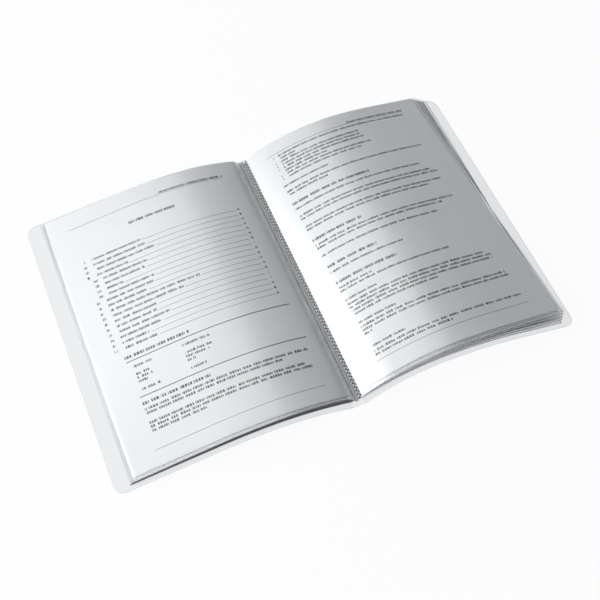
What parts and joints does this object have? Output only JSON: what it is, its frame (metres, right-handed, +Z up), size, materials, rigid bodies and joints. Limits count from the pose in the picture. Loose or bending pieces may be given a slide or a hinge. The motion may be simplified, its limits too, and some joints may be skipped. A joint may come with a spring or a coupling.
{
  "type": "clear pocket display book",
  "caption": "Soft plastic display book lying open, with a frosted cover on living hinges and clear film pockets that hold printed A4 sheets.",
  "frame": {"origin": "middle of the spine panel's underside, on the table", "axes": "+X across the open book to the right cover, +Y up the page along the spine, +Z up from the table"},
  "size_m": [0.4621, 0.31, 0.0391],
  "materials": {
    "cover": "frosted translucent polypropylene",
    "weld": "fused clear film",
    "film": "clear glossy film",
    "sheet": "matt printed paper"
  },
  "bodies": {
    "spine": {"spine_panel": "cover", "binding_weld": "weld"},
    "front_cover": {"front_cover": "cover"},
    "back_cover": {"back_cover": "cover"},
    "left_leaf_1": {"left_pocket_1": "film"},
    "left_sheet_1": {"left_insert_1": "sheet"},
    "left_leaf_2": {"left_pocket_2": "film"},
    "left_sheet_2": {"left_insert_2": "sheet"},
    "left_leaf_3": {"left_pocket_3": "film"},
    "left_sheet_3": {"left_insert_3": "sheet"},
    "left_leaf_4": {"left_pocket_4": "film"},
    "left_sheet_4": {"left_insert_4": "sheet"},
    "left_leaf_5": {"left_pocket_5": "film"},
    "left_sheet_5": {"left_insert_5": "sheet"},
    "right_leaf_1": {"right_pocket_1": "film"},
    "right_sheet_1": {"right_insert_1": "sheet"},
    "right_leaf_2": {"right_pocket_2": "film"},
    "right_sheet_2": {"right_insert_2": "sheet"},
    "right_leaf_3": {"right_pocket_3": "film"},
    "right_sheet_3": {"right_insert_3": "sheet"},
    "right_leaf_4": {"right_pocket_4": "film"},
    "right_sheet_4": {"right_insert_4": "sheet"},
    "right_leaf_5": {"right_pocket_5": "film"},
    "right_sheet_5": {"right_insert_5": "sheet"}
  },
  "joints": [
    {"name": "front_cover_hinge", "type": "hinge", "parent": "spine", "child": "front_cover", "pos_m": [-0.0065, 0, 0.00025], "axis": [0, 1, 0], "range_deg": [0, 44]},
    {"name": "left_leaf_5_turn", "type": "hinge", "parent": "spine", "child": "left_leaf_5", "pos_m": [0, 0, 0.0024], "axis": [0, 1, 0], "range_deg": [0, 44]},
    {"name": "left_leaf_1_turn", "type": "hinge", "parent": "left_leaf_5", "child": "left_leaf_1", "pos_m": [0, 0, 0.0024], "axis": [0, 1, 0], "range_deg": [0, 40]},
    {"name": "left_leaf_2_turn", "type": "hinge", "parent": "left_leaf_5", "child": "left_leaf_2", "pos_m": [0, 0, 0.0024], "axis": [0, 1, 0], "range_deg": [0, 30]},
    {"name": "left_leaf_3_turn", "type": "hinge", "parent": "left_leaf_5", "child": "left_leaf_3", "pos_m": [0, 0, 0.0024], "axis": [0, 1, 0], "range_deg": [0, 20]},
    {"name": "left_leaf_4_turn", "type": "hinge", "parent": "left_leaf_5", "child": "left_leaf_4", "pos_m": [0, 0, 0.0024], "axis": [0, 1, 0], "range_deg": [0, 10]},
    {"name": "left_sheet_1_slide", "type": "slide", "parent": "left_leaf_1", "child": "left_sheet_1", "axis": [0, 1, 0], "range_m": [0, 0.308]},
    {"name": "left_sheet_2_slide", "type": "slide", "parent": "left_leaf_2", "child": "left_sheet_2", "axis": [0, 1, 0], "range_m": [0, 0.308]},
    {"name": "left_sheet_3_slide", "type": "slide", "parent": "left_leaf_3", "child": "left_sheet_3", "axis": [0, 1, 0], "range_m": [0, 0.308]},
    {"name": "left_sheet_4_slide", "type": "slide", "parent": "left_leaf_4", "child": "left_sheet_4", "axis": [0, 1, 0], "range_m": [0, 0.308]},
    {"name": "left_sheet_5_slide", "type": "slide", "parent": "left_leaf_5", "child": "left_sheet_5", "axis": [0, 1, 0], "range_m": [0, 0.308]},
    {"name": "back_cover_hinge", "type": "hinge", "parent": "spine", "child": "back_cover", "pos_m": [0.0065, 0, 0.00025], "axis": [0, 1, 0], "range_deg": [-44, 0]},
    {"name": "right_leaf_5_turn", "type": "hinge", "parent": "spine", "child": "right_leaf_5", "pos_m": [0, 0, 0.0024], "axis": [0, 1, 0], "range_deg": [-44, 0]},
    {"name": "right_leaf_1_turn", "type": "hinge", "parent": "right_leaf_5", "child": "right_leaf_1", "pos_m": [0, 0, 0.0024], "axis": [0, 1, 0], "range_deg": [-40, 0]},
    {"name": "right_leaf_2_turn", "type": "hinge", "parent": "right_leaf_5", "child": "right_leaf_2", "pos_m": [0, 0, 0.0024], "axis": [0, 1, 0], "range_deg": [-30, 0]},
    {"name": "right_leaf_3_turn", "type": "hinge", "parent": "right_leaf_5", "child": "right_leaf_3", "pos_m": [0, 0, 0.0024], "axis": [0, 1, 0], "range_deg": [-20, 0]},
    {"name": "right_leaf_4_turn", "type": "hinge", "parent": "right_leaf_5", "child": "right_leaf_4", "pos_m": [0, 0, 0.0024], "axis": [0, 1, 0], "range_deg": [-10, 0]},
    {"name": "right_sheet_1_slide", "type": "slide", "parent": "right_leaf_1", "child": "right_sheet_1", "axis": [0, 1, 0], "range_m": [0, 0.308]},
    {"name": "right_sheet_2_slide", "type": "slide", "parent": "right_leaf_2", "child": "right_sheet_2", "axis": [0, 1, 0], "range_m": [0, 0.308]},
    {"name": "right_sheet_3_slide", "type": "slide", "parent": "right_leaf_3", "child": "right_sheet_3", "axis": [0, 1, 0], "range_m": [0, 0.308]},
    {"name": "right_sheet_4_slide", "type": "slide", "parent": "right_leaf_4", "child": "right_sheet_4", "axis": [0, 1, 0], "range_m": [0, 0.308]},
    {"name": "right_sheet_5_slide", "type": "slide", "parent": "right_leaf_5", "child": "right_sheet_5", "axis": [0, 1, 0], "range_m": [0, 0.308]}
  ],
  "couplings": [
    {"joint": "left_leaf_5_turn", "follows": "front_cover_hinge", "ratio": 1},
    {"joint": "left_leaf_2_turn", "follows": "left_leaf_1_turn", "ratio": 0.75},
    {"joint": "left_leaf_3_turn", "follows": "left_leaf_1_turn", "ratio": 0.5},
    {"joint": "left_leaf_4_turn", "follows": "left_leaf_1_turn", "ratio": 0.25},
    {"joint": "right_leaf_5_turn", "follows": "back_cover_hinge", "ratio": 1},
    {"joint": "right_leaf_2_turn", "follows": "right_leaf_1_turn", "ratio": 0.75},
    {"joint": "right_leaf_3_turn", "follows": "right_leaf_1_turn", "ratio": 0.5},
    {"joint": "right_leaf_4_turn", "follows": "right_leaf_1_turn", "ratio": 0.25}
  ]
}
